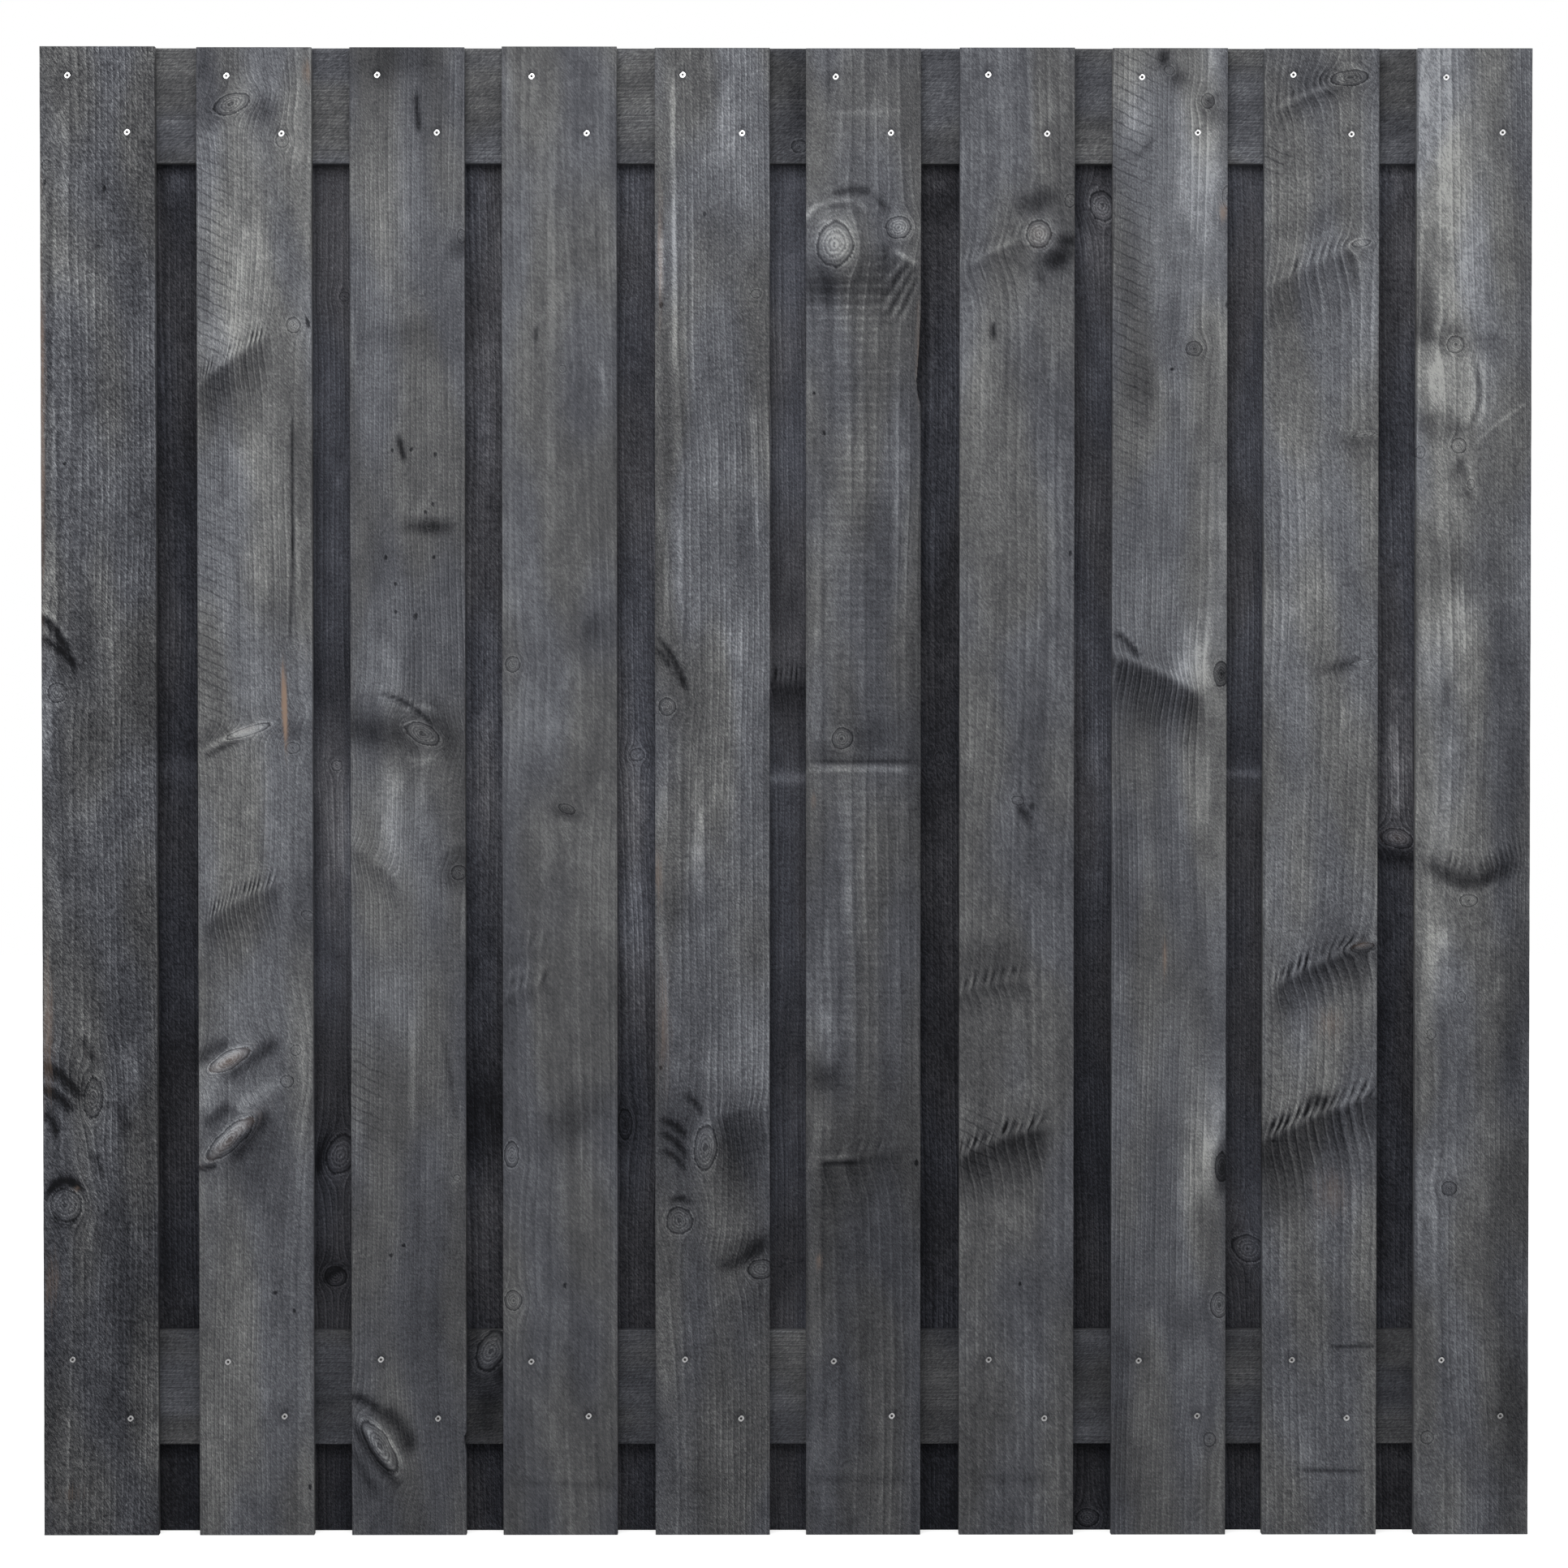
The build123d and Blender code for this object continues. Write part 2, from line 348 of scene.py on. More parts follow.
def stained_spruce(name, cool, warm):
    """Sawn spruce under a black water-based stain: a thin film that leaves the grain to be seen.

    The hard late wood of each ring takes little of it and stays paler, the saw's fuzz catches it
    in specks, and it pools dark where the fibres dive round a knot. It dries nearly matt. All that
    makes the film thinner or thicker adds up to one grey, which cool and warm tinge.
    """
    material = bpy.data.materials.new(name)
    material.use_nodes = True
    tree = material.node_tree
    tree.nodes.clear()

    def total(*pairs):
        """Adds up values, each times its weight. With a single pair it is their product."""
        so_far = 0.0
        for value, weight in pairs:
            so_far = add(tree, "Math", [(0, value), (1, weight), (2, so_far)],
                         operation="MULTIPLY_ADD").outputs[0]
        return so_far

    def distance(value, centre):
        """How far a value is from centre, on either side of it."""
        apart = total((value, 1.0), (1.0, -centre))
        return add(tree, "Math", [(0, apart)], operation="ABSOLUTE").outputs[0]

    fact = {}
    for label in ("place", "grain", "rings", "knot_at", "mark_at", "stain", "band", "tool", "end"):
        fact[label] = add(tree, "Attribute", attribute_name=label).outputs
    thirds = []
    for label in ("grain", "stain", "band", "tool"):
        thirds += add(tree, "SeparateXYZ", [("Vector", fact[label]["Vector"])]).outputs[:]
    across, _, along, tone, bare, silver, below, shade, teeth, slant, chatter, contrast = thirds
    lengths = []
    for label in ("knot_at", "mark_at"):
        offset = add(tree, "VectorMath", [(0, fact[label]["Vector"])], operation="LENGTH")
        lengths.append(offset.outputs["Value"])

    noises = []
    for wide, high, detail, lean, with_fibres in noise_sizes:
        lie = fact["grain" if with_fibres else "place"]["Vector"]
        spot = add(tree, "Mapping", [
            ("Vector", lie), ("Scale", (wide, wide, high)), ("Rotation", (0, math.radians(lean), 0)),
        ], vector_type="TEXTURE")
        noise = add(tree, "TexNoise", [
            ("Vector", spot.outputs[0]), ("Scale", 1.0), ("Detail", detail),
        ])
        noises.append(noise.outputs[0])
    fibre, streak, mottle, cloud, fuzz, speck, level, hue = noises

    rings = total((fact["rings"]["Fac"], 1.0), (cloud, 0.3), (streak, 0.9))
    saw_cuts = total((along, 1 / saw_pitch), (across, saw_slope / saw_pitch), (cloud, 0.5))
    roller_dents = total((along, 1 / roller_pitch), (cloud, 0.3))
    turns = []
    for value in (rings, saw_cuts, roller_dents):
        turns.append(add(tree, "Math", [(0, value)], operation="FRACT").outputs[0])
    ring_turn, saw_turn, roller_turn = turns
    knot = total((lengths[0], 1.0), (cloud, 0.5), (fuzz, 0.24), (streak, -0.1))
    mark = total((lengths[1], 1.0), (fuzz, 0.8))
    crest = total((below, 1.0), (fibre, 8.0), (fuzz, 6.0), (cloud, 6.0))

    # How far each trait is there: none of it at the first number, all of it at the second
    trait = {}
    for label, value, none, full in (
        ("near knot", knot, 2.1, 1.5), ("knot face", knot, 1.4, 1.2), ("knot heart", knot, 0.5, 0.34),
        ("knot rim", distance(knot, 1.38), 0.16, 0.0), ("knot ridge", distance(knot, 1.68), 0.2, 0.0),
        ("mark", mark, 1.5, 0.9), ("below crest", crest, 4.0, 20.0),
        ("on crest", distance(crest, 6.0), 11.0, 0.0), ("tooth", distance(ring_turn, 0.4), 0.34, 0.0),
        ("torn", total((cloud, 1.0), (fibre, 0.4)), 0.5, 0.9),
        ("saw cut", distance(saw_turn, 0.5), 0.13, 0.0),
        ("roller dent", distance(roller_turn, 0.5), 0.3, 0.0),
        ("warm", hue, 0.35, 0.65), ("bare", total((bare, 1.0), (fibre, 0.8), (streak, 0.3)), 0.65, 2.2),
    ):
        trait[label] = add(tree, "MapRange", [
            ("Value", value), ("From Min", none), ("From Max", full),
        ], interpolation_type="SMOOTHSTEP").outputs[0]

    ring = add(tree, "ValToRGB", [("Fac", ring_turn)])
    stops = ring.color_ramp.elements
    for position, pale in ring_profile:
        stop = stops.new(position) if position > 0 else stops[0]
        stop.color = (pale, pale, pale, 1)
    stops[-1].color = (0.0, 0.0, 0.0, 1)
    ring = ring.outputs[0]
    knot_waves = add(tree, "Math", [(0, total((knot, 25.0)))], operation="SINE").outputs[0]

    below_crest = total((trait["below crest"], shade))
    on_crest = total((trait["on crest"], shade))
    teeth = total((total((trait["tooth"], teeth)), trait["torn"]))
    dents = total((trait["roller dent"], chatter))
    ring_weight = total((contrast, total((mottle, 0.36), (streak, -0.12))), (below_crest, 0.24),
                        (silver, 0.25))
    fine = total((fuzz, 0.6), (speck, 0.3), (level, 0.1), (1.0, -0.5))
    grey = total(
        (1.0, overall_grey), (tone, 1.5), (mottle, 0.27), (cloud, 0.18), (streak, 0.18),
        (fibre, 0.09), (total((fine, contrast)), 0.95), (ring, ring_weight),
        (silver, total((streak, 0.25), (cloud, 0.8))), (below_crest, -0.5), (on_crest, 0.08),
        (teeth, -0.95), (total((knot_waves, trait["near knot"])), 0.1), (trait["knot rim"], -0.2),
        (trait["knot ridge"], 0.08), (trait["knot face"], 0.05), (trait["knot heart"], -0.2),
        (trait["mark"], -0.34), (total((trait["saw cut"], slant)), -0.24), (dents, 0.07),
        (total((dents, ring)), 0.2), (fact["end"]["Fac"], -0.12),
    )
    colour = add(tree, "ValToRGB", [("Fac", grey)])
    stops = colour.color_ramp.elements
    stops[0].color = linear(thickest_stain)
    stops[-1].color = linear(thinnest_stain)
    for position, code in stain_greys:
        stops.new(position).color = linear(code)
    tinge = add(tree, "Mix", [
        ("Factor", trait["warm"]), ("A", linear(cool)), ("B", linear(warm)),
    ], data_type="RGBA").outputs["Result"]
    colour = add(tree, "Mix", [("Factor", 1.0), ("A", colour.outputs[0]), ("B", tinge)],
                 data_type="RGBA", blend_type="MULTIPLY").outputs["Result"]
    colour = add(tree, "Mix", [("Factor", trait["bare"]), ("A", colour), ("B", linear(bare_spruce))],
                 data_type="RGBA").outputs["Result"]

    height = total((ring, 0.1), (fibre, 0.15), (fuzz, 0.4))
    bump = add(tree, "Bump", [("Height", height), ("Distance", 0.001), ("Strength", 0.8)])
    shader = add(tree, "BsdfPrincipled", [
        ("Base Color", colour), ("Roughness", total((1.0, 0.8), (grey, -0.15), (fuzz, 0.1))),
        ("IOR", 1.45), ("Specular IOR Level", 0.2), ("Normal", bump.outputs[0]),
    ])
    add(tree, "OutputMaterial", [("Surface", shader.outputs[0])])
    return material


rail_stain = stained_spruce("black stain on sawn spruce rail", "#f5f6fa", "#fdfbf5")
for node, wood in rail_figure.items():
    low, high = [np.array(corner) * 1000 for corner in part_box(node)]
    length, thickness, height = high - low
    across = np.linspace(arris, height - arris, rail_columns)
    piece = timber(
        node + "_stained", wood, (height, thickness, length),
        lambda across, deep, along: (low[0] + along, low[1] + deep, high[2] - across),
        (across, across), packed_rows(length, rail_rows, []),
    )
    piece.data.materials.append(rail_stain)
    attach(piece, "root")
    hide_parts(node)


# The screws: countersunk stainless ones with a six-lobe recess, driven in until the head lies
# just under the wood's face. Bright where the light finds the head. Painted shade greys the heads
# of the lower row and darkens the recess.
head_radius = 3.75
shank_radius = 1.9
head_sink = 0.35
head_cone = 2.1
recess_depth = 1.5
plain_shank = 5.0
screw_length = 29.0
point_length = 3.4
thread_pitch = 2.2
thread_root = shank_radius - 0.45
thread_rise = 0.55
around_screw = 24
screw_tilt = 0.05
# Painted shade mixed into the steel: a little on the upper row, more on the lower row, which gets less
# light, and near black in the recess
upper_painted_shade, lower_painted_shade, recess_painted_shade = 0.2, 0.9, 2.4
middle_height = 900.0


def screw_heads(node, outward):
    """The centres of a node's screw heads, upper and lower on each rail, in millimetres.

    The flat tops of the heads are the points that lie furthest outward. Within each board's
    width and each half of a rail's height, a head's centre is the middle of its points' box.
    """
    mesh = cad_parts[node].data
    points = np.empty(len(mesh.vertices) * 3)
    mesh.vertices.foreach_get("co", points)
    points = points.reshape(-1, 3) * 1000
    tops = points[points[:, 1] * outward > (points[:, 1] * outward).max() - 0.01]
    row = "front_board_" if outward < 0 else "back_board_"
    centres = {}
    for board in sorted(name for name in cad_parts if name.startswith(row)):
        low, high = [np.array(corner) * 1000 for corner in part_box(board)]
        on_board = tops[(tops[:, 0] > low[0]) & (tops[:, 0] < high[0])]
        centres[board] = []
        for rail in ("bottom_rail", "top_rail"):
            rail_low, rail_high = [corner[2] * 1000 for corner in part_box(rail)]
            middle = (rail_low + rail_high) / 2
            for under, over in ((rail_low, middle), (middle, rail_high)):
                head = on_board[(on_board[:, 2] > under) & (on_board[:, 2] < over)]
                centres[board].append((head.min(axis=0) + head.max(axis=0)) / 2)
    return centres


def screw_surface(turn):
    """One screw as a grid: a profile turned about its axis, head at 0 and point at -screw_length.

    Each row is a radius and a depth. In the recess the radius swells and shrinks six times round,
    and along the shank it rises once in each pitch, as a ramp that climbs with the angle.
    """
    angle = np.linspace(0, 2 * math.pi, around_screw, endpoint=False)
    lobes = 1 + 0.2 * np.cos(6 * (angle + turn))
    rows = [
        (0.9 * lobes, -recess_depth), (1.35 * lobes, -recess_depth), (1.45 * lobes, -0.15),
        (1.62 * lobes, 0.0), (0 * angle + 3.3, 0.06), (0 * angle + 3.65, 0.0),
        (0 * angle + head_radius, -0.25), (0 * angle + shank_radius, -head_cone),
    ]
    for depth in np.arange(head_cone + plain_shank, screw_length - point_length, thread_pitch / 4):
        phase = (depth / thread_pitch - angle / (2 * math.pi)) % 1
        rows.append((thread_root + thread_rise * (1 - np.abs(2 * phase - 1)), -depth))
    rows.append((0 * angle + 0.15, -screw_length))
    radius = np.array([row[0] for row in rows])
    depth = np.array([0 * angle + row[1] for row in rows])
    return radius * np.cos(angle), radius * np.sin(angle), depth


def stainless(name):
    """Bright stainless steel wire, rolled and passivated: a clean white glint, scuffed by the bit."""
    material = bpy.data.materials.new(name)
    material.use_nodes = True
    tree = material.node_tree
    shader = tree.nodes["Principled BSDF"]
    place = add(tree, "TexCoord").outputs["Object"]
    scuff = add(tree, "TexNoise", [("Vector", place), ("Scale", 900.0), ("Detail", 3.0)]).outputs[0]
    # Painted shade: a dark colour mixed into the steel where the screw's shade value says, broken up by
    # the scuffs
    painted_shade = add(tree, "Attribute", attribute_name="painted_shade").outputs["Fac"]
    shade_share = add(tree, "Math", [(0, painted_shade), (1, scuff)], operation="MULTIPLY").outputs[0]
    shaded_steel = add(tree, "Mix", [("Factor", shade_share), ("A", linear("#f2f2f3")), ("B", linear("#2e2c2d"))],
               data_type="RGBA").outputs["Result"]
    rough = add(tree, "MapRange", [("Value", scuff), ("To Min", 0.2), ("To Max", 0.42)]).outputs[0]
    tree.links.new(shaded_steel, shader.inputs["Base Color"])
    tree.links.new(rough, shader.inputs["Roughness"])
    shader.inputs["Metallic"].default_value = 1.0
    return material


steel = stainless("bright stainless steel screw")
heads = {}
for node, outward in (("front_screws", -1), ("back_screws", 1)):
    found = screw_heads(node, outward)
    heads.update(found)
    draw = np.random.default_rng(7)
    points, faces, painted_shades = [], [], []
    for x, y, z in np.concatenate(list(found.values())):
        aside, above, depth = screw_surface(draw.uniform(0, 1))
        tilt_x, tilt_z = draw.uniform(-screw_tilt, screw_tilt, 2)
        out = depth - head_sink + tilt_x * aside + tilt_z * above
        place = [x + aside + tilt_x * depth, y + outward * out, z + above + tilt_z * depth]
        numbers = np.arange(depth.size).reshape(depth.shape) + depth.size * len(points)
        following = np.roll(numbers, -1, axis=1)
        walls = np.stack([numbers[:-1], numbers[1:], following[1:], following[:-1]], axis=-1)
        walls = walls.reshape(-1, 4).tolist() + [numbers[0].tolist(), numbers[-1][::-1].tolist()]
        faces += walls if outward < 0 else [wall[::-1] for wall in walls]
        points.append(np.stack(place, axis=-1).reshape(-1, 3))
        # Painted shade: light on the upper row, heavier on the lower row, and darkest in the recess's
        # rows
        row_shade = upper_painted_shade if z > middle_height else lower_painted_shade
        painted_shade = np.full(depth.shape, row_shade * draw.uniform(0.6, 1.3))
        painted_shade[:3] = recess_painted_shade
        painted_shades.append(painted_shade.ravel())
    mesh = bpy.data.meshes.new(node + "_driven")
    mesh.from_pydata((np.concatenate(points) / 1000).tolist(), [], faces)
    layer = mesh.attributes.new("painted_shade", "FLOAT", "POINT")
    layer.data.foreach_set("value", np.concatenate(painted_shades).astype(np.float32))
    mesh.materials.append(steel)
    mesh.update()
    piece = bpy.data.objects.new(node + "_driven", mesh)
    bpy.context.scene.collection.objects.link(piece)
    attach(piece, "root")
    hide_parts(node)


# The boards: sawn spruce, 139 by 16 mm, all of one width, screwed to the front of the rails and,
# behind, over the gaps. Every one has its own knots, dark bands, scratches, saw marks and stain.
# The figures are as for the rails, and a band, where the saw cut through bent grain, is its crest's
# two ends, its reach down the board, its darkness, its bend and the strength of its teeth.
front_figure = {
    1: dict(
        pith=(12, 42), tone=-0.04, ring_width=6.4, contrast=1.6,
        knots=[(8, 1657, 5, 6), (19, 1022, 10, 11), (61, 531, 10, 22, -3), (27, 401, 17, 17)],
        marks=[(6, 1637, 2, 4), (78, 1629, 2, 4), (29, 1298, 2, 2)],
        bands=[(-6, 1120, 38, 1066, 14, 0.6, 3, 0.0), (-6, 600, 60, 548, 40, 0.35, 5, 0.2)],
        strokes=[
            (-6, 1118, 34, 1068, 6, 3, -0.34), (-6, 1127, 36, 1077, 6, 2.4, 0.14),
            (-6, 1090, 44, 1048, 5, 2.8, -0.3), (-8, 572, 50, 526, 8, 5, -0.26),
            (-2, 586, 50, 536, 6, 2.6, 0.12), (-8, 544, 38, 512, 6, 4, -0.28),
            (-6, 556, 42, 518, 6, 2.4, 0.1), (-4, 516, 18, 482, 5, 4, -0.3),
            (46, 608, 62, 574, 0, 4, -0.2), (1, 408, 54, 416, 18, 4.4, -0.44),
            (4, 394, 50, 390, -15, 3, -0.14), (60, 468, 74, 432, 0, 3.4, -0.16),
            (86, 530, 98, 480, 3, 3, -0.16), (94, 530, 104, 484, 3, 2.2, -0.1),
            (58, 396, 44, 340, 6, 2.4, 0.1), (90, 610, 104, 540, 3, 2.4, 0.1),
            (100, 610, 114, 540, 3, 2.4, 0.1), (17, 1240, 18, 1780, 0, 1.6, 0.1),
            (28, 1150, 29, 1780, 0, 1.6, 0.07),
        ],
        patches=[
            (125, 900, 40, 900, -0.035), (110, 310, 40, 50, -0.09), (79, 1065, 14, 26, 0.08),
            (130, 385, 8, 24, -0.08), (20, 500, 20, 14, 0.05), (30, 1055, 26, 22, -30, -0.07),
            (12, 130, 14, 70, -0.1), (60, 1410, 40, 70, -0.05), (70, 1300, 30, 220, 0.03),
            (19, 1022, 20, 20, 0.04), (20, 540, 26, 30, -0.06), (27, 401, 16, 16, -0.05),
            (40, 966, 40, 30, -0.05),
        ],
        silver=[(60, 905, 14, 40, 0.08), (60, 1500, 40, 140, 0.05)],
        bare=[
            (2, 1345, 3, 170, 0.8), (10, 305, 9, 28, 0.5), (35, 50, 14, 9, 0.4), (7, 615, 6, 60, 0.7),
            (41, 421, 3, 3, 0.7),
        ],
    ),
    2: dict(
        pith=(130, 26), tone=0.045, ring_width=5.2,
        knots=[
            (42, 1731, 20, 10, 22), (104, 1687, 7, 7), (117, 1465, 8, 8), (115, 1077, 4, 3),
            (61, 975, 24, 5, 18), (115, 955, 8, 6), (133, 752, 8, 5, -25), (107, 551, 7, 7),
            (118, 589, 6, 6), (37, 577, 24, 9, 28), (38, 481, 32, 11, 42),
        ],
        marks=[(134, 1468, 3, 8, 20), (92, 295, 3, 3), (115, 273, 3, 3), (134, 59, 2, 4)],
        bands=[(1, 1393, 89, 1453, 70, 0.75, 8, 0.7), (5, 742, 101, 791, 50, 0.6, 8, 0.6)],
        strokes=[
            (116, 1169, 115, 1378, 0, 1.2, -0.22), (112, 1077, 116, 1227, 0, 1.3, -0.18),
            (3, 948, 58, 975, 3, 2.4, 0.12), (4, 940, 60, 966, 3, 2.4, -0.14),
            (34, 450, 86, 520, -2, 7, -0.24), (6, 494, 42, 524, 2, 6, -0.18),
            (-4, 445, 24, 449, 0, 2.4, -0.3), (30, 553, 100, 604, 0, 7, -0.22),
            (-4, 572, 38, 602, 2, 6, -0.18), (42, 516, 108, 560, 0, 7, 0.12),
            (12, 466, 62, 510, 0, 2.4, 0.1), (16, 452, 60, 490, 2, 2.4, -0.12),
            (20, 572, 54, 590, 0, 2.4, 0.1), (22, 566, 54, 582, 0, 2.4, -0.1),
            (124, 380, 126, 640, 0, 5, 0.06),
        ],
        patches=[
            (18, 1722, 12, 14, -0.14), (82, 1722, 14, 16, -0.14), (15, 1775, 25, 25, -0.09),
            (120, 1765, 20, 20, -0.06), (92, 1158, 10, 60, -0.06), (20, 970, 20, 10, 20, -0.1),
            (112, 975, 18, 8, -0.1), (72, 462, 14, 34, -20, -0.08), (37, 577, 26, 9, 28, 0.08),
            (38, 481, 36, 11, 42, 0.09), (124, 1210, 14, 70, -0.07), (100, 186, 36, 40, 0.05),
            (62, 425, 20, 26, -0.06), (80, 640, 50, 60, 0.05), (14, 535, 14, 18, 0.09),
            (14, 418, 16, 18, 0.09), (30, 1440, 30, 24, 0.1),
        ],
        silver=[
            (70, 1560, 22, 90, 0.2), (30, 1490, 20, 60, 0.14), (55, 1130, 25, 140, 0.2),
            (61, 975, 20, 5, 18, 0.34), (80, 860, 30, 40, 0.12),
        ],
        bare=[
            (105, 1006, 2, 34, 2, 2.4), (134, 1770, 5, 12, 0.7), (58, 976, 14, 4, 18, 0.6),
            (38, 481, 32, 7, 42, 0.7), (37, 577, 22, 6, 28, 0.7),
        ],
        slant=[(16, 1540, 22, 130, 0.8), (16, 1090, 22, 130, 0.7)],
    ),
    3: dict(
        pith=(150, 20), tone=0.0, ring_width=5.6,
        knots=[
            (135, 1572, 5, 8), (95, 1222, 4, 3), (87, 972, 20, 10, -25), (131, 804, 8, 8),
            (128, 434, 4, 4), (34, 108, 11, 30, 32),
        ],
        marks=[
            (51, 1314, 2, 3), (74, 1315, 2, 3), (103, 1309, 2, 3), (100, 1249, 2, 3),
            (91, 1240, 2, 3), (43, 1185, 2, 4), (101, 1185, 2, 3), (55, 1153, 2, 3), (55, 1119, 2, 3),
            (79, 1114, 3, 5), (48, 340, 3, 3), (63, 352, 3, 3),
        ],
        bands=[(105, 822, 139, 838, 30, 0.3, -6, 0.0), (-4, 840, 60, 790, 40, 0.25, 10, 0.0)],
        strokes=[
            (84, 1694, 80, 1750, 0, 2.4, -0.28), (4, 1409, 4, 1491, 0, 2, 0.14),
            (66, 1300, 58, 1333, 0, 2, -0.35), (32, 1022, 103, 977, 8, 1.6, -0.25),
            (75, 480, 74, 649, 0, 2.6, 0.1), (105, 629, 128, 486, 3, 2, -0.1),
            (60, 996, 112, 990, 12, 2.4, 0.12), (64, 946, 110, 952, -10, 2.4, 0.1),
            (-4, 170, 34, 150, 4, 4, -0.26), (-2, 146, 62, 58, -6, 4, -0.24),
            (26, 158, 74, 96, 10, 7, -0.22), (8, 146, 62, 64, -2, 2.6, 0.16),
            (20, 144, 66, 76, 5, 2.6, 0.16), (-2, 112, 36, 44, -4, 4, -0.12),
        ],
        patches=[
            (58, 1785, 36, 18, -0.12), (95, 1222, 18, 6, -0.25), (112, 975, 12, 26, 20, -0.16),
            (30, 975, 36, 14, -8, -0.18), (60, 1450, 50, 16, -0.06), (135, 1540, 14, 40, 0.05),
            (40, 1050, 30, 40, 0.05), (60, 870, 50, 60, 0.05), (60, 660, 50, 160, 0.05),
            (112, 1110, 30, 90, -0.1), (135, 1560, 10, 12, -0.16), (122, 1750, 18, 36, -0.1),
            (131, 800, 12, 12, -0.1), (33, 70, 40, 40, -0.04), (20, 1552, 20, 30, -0.03),
            (66, 1064, 20, 24, -0.05),
        ],
        silver=[
            (60, 1560, 30, 60, 0.16), (75, 1245, 14, 10, 0.12), (50, 890, 12, 40, 0.25),
            (84, 900, 6, 30, 0.2), (40, 1050, 26, 34, 0.14),
        ],
        slant=[(14, 540, 18, 60, 0.7)],
    ),
    4: dict(
        pith=(70, -60), tone=0.02, ring_width=6.0, contrast=0.7,
        knots=[
            (13, 1056, 8, 9), (73, 1412, 4, 4), (78, 881, 9, 5, -20), (11, 462, 8, 14),
            (13, 285, 9, 11),
        ],
        marks=[(75, 304, 2, 4)],
        bands=[(-2, 652, 62, 668, 24, 0.3, 4, 0.3), (-2, 700, 56, 712, 20, 0.2, 3, 0.2)],
        strokes=[
            (125, 1368, 120, 1422, 0, 2.4, 0.1), (41, 1440, 41, 1462, 0, 1.6, -0.18),
            (-4, 63, 143, 60, 1, 3, -0.05),
        ],
        patches=[
            (110, 1095, 24, 20, 30, -0.1), (78, 500, 42, 22, 40, -0.12), (24, 1080, 26, 280, 0.06),
            (78, 876, 12, 5, -20, -0.16), (122, 600, 18, 60, -0.06), (30, 470, 16, 24, 20, 0.04),
            (70, 1600, 60, 140, 0.015), (20, 1064, 18, 30, -0.085), (70, 966, 22, 30, 0.08),
            (70, 860, 22, 20, 0.05), (80, 1560, 36, 40, -0.045),
        ],
    ),
    5: dict(
        pith=(8, 36), tone=0.0, ring_width=6.4, contrast=1.2,
        knots=[
            (7, 1542, 4, 4), (23, 1290, 4, 4), (122, 1503, 6, 5), (15, 1005, 9, 10),
            (61, 471, 12, 24, -4), (29, 382, 14, 15), (128, 323, 14, 11),
        ],
        marks=[(60, 1598, 2, 4), (7, 568, 2, 3), (8, 1489, 3, 4)],
        bands=[(66, 505, 139, 520, 60, 0.35, 6, 0.3), (-6, 1088, 38, 1030, 16, 0.4, 3, 0.0)],
        strokes=[
            (8, 1497, 8, 1581, 0, 2.6, 0.2), (24, 1409, 24, 1664, 0, 2.2, 0.14),
            (47, 1350, 45, 1660, 0, 1.6, 0.08), (22, 1650, 22, 1770, 0, 2.4, 0.16),
            (125, 1169, 117, 1393, 0, 1.6, 0.13), (1, 1091, 38, 1022, 5, 2.6, -0.3),
            (4, 1075, 16, 1050, 2, 2.2, -0.2), (34, 535, 58, 508, 4, 2.6, -0.22),
            (5, 505, 40, 480, 5, 2.8, -0.26), (5, 490, 40, 455, 5, 2.8, -0.24),
            (4, 470, 38, 440, 5, 2.8, -0.22), (15, 403, 46, 403, 6, 2.6, -0.22),
            (72, 325, 137, 362, -8, 6, -0.2),
        ],
        patches=[
            (100, 470, 19, 38, -0.15), (28, 498, 20, 26, -0.07), (114, 352, 20, 9, 20, -0.14),
            (115, 1357, 18, 50, -0.075), (40, 765, 20, 20, -0.07), (118, 270, 18, 20, -0.05),
            (120, 600, 30, 80, 0.06), (61, 471, 12, 24, 0.05), (128, 310, 22, 40, -0.09),
            (110, 70, 34, 60, -0.06), (20, 1005, 30, 26, -0.03),
        ],
        silver=[
            (84, 1710, 14, 30, 0.2), (50, 835, 8, 40, 0.3), (75, 900, 30, 90, 0.14),
            (100, 1080, 14, 40, 0.16), (100, 1300, 20, 160, 0.1),
        ],
        bare=[
            (4, 803, 4, 30, 0.6), (10, 620, 6, 60, 0.6), (7, 1545, 3, 60, 0.7),
            (15, 1005, 9, 10, 0.3),
        ],
    ),
    6: dict(
        pith=(20, 60), tone=-0.02, ring_width=10.0,
        knots=[(35, 1563, 19, 23), (112, 1583, 13, 12), (44, 966, 11, 11)],
        marks=[(22, 1335, 2, 4), (10, 1383, 2, 2), (134, 452, 3, 5)],
        bands=[(-4, 440, 120, 470, 50, 0.3, 12, 0.2)],
        strokes=[
            (-4, 929, 143, 929, 1, 3, 0.12), (-4, 938, 143, 938, 1, 2, -0.16),
            (14, 450, 66, 452, 1, 1.6, -0.22), (14, 458, 66, 460, 1, 2.4, 0.08),
            (22, 40, 21, 1380, 0, 1.6, -0.08), (20, 1720, 120, 1722, 0, 4, 0.06),
            (-4, 68, 143, 66, 0, 4, -0.06), (-2, 1588, 28, 1612, 7, 2.6, 0.16),
            (26, 1613, 76, 1606, 4, 3, 0.12), (30, 1622, 82, 1624, 5, 3.4, -0.2),
            (24, 1606, 66, 1608, 3, 2.6, -0.12), (80, 1624, 102, 1600, 0, 3, -0.12),
            (120, 1546, 88, 1510, 0, 2.4, 0.1), (127, 1538, 88, 1478, 0, 2.4, 0.12),
            (132, 1530, 101, 1468, 0, 2.4, 0.12), (137, 1520, 113, 1464, 0, 2.4, 0.12),
            (126, 1546, 90, 1492, 0, 2.4, -0.12), (131, 1534, 95, 1472, 0, 2.4, -0.12),
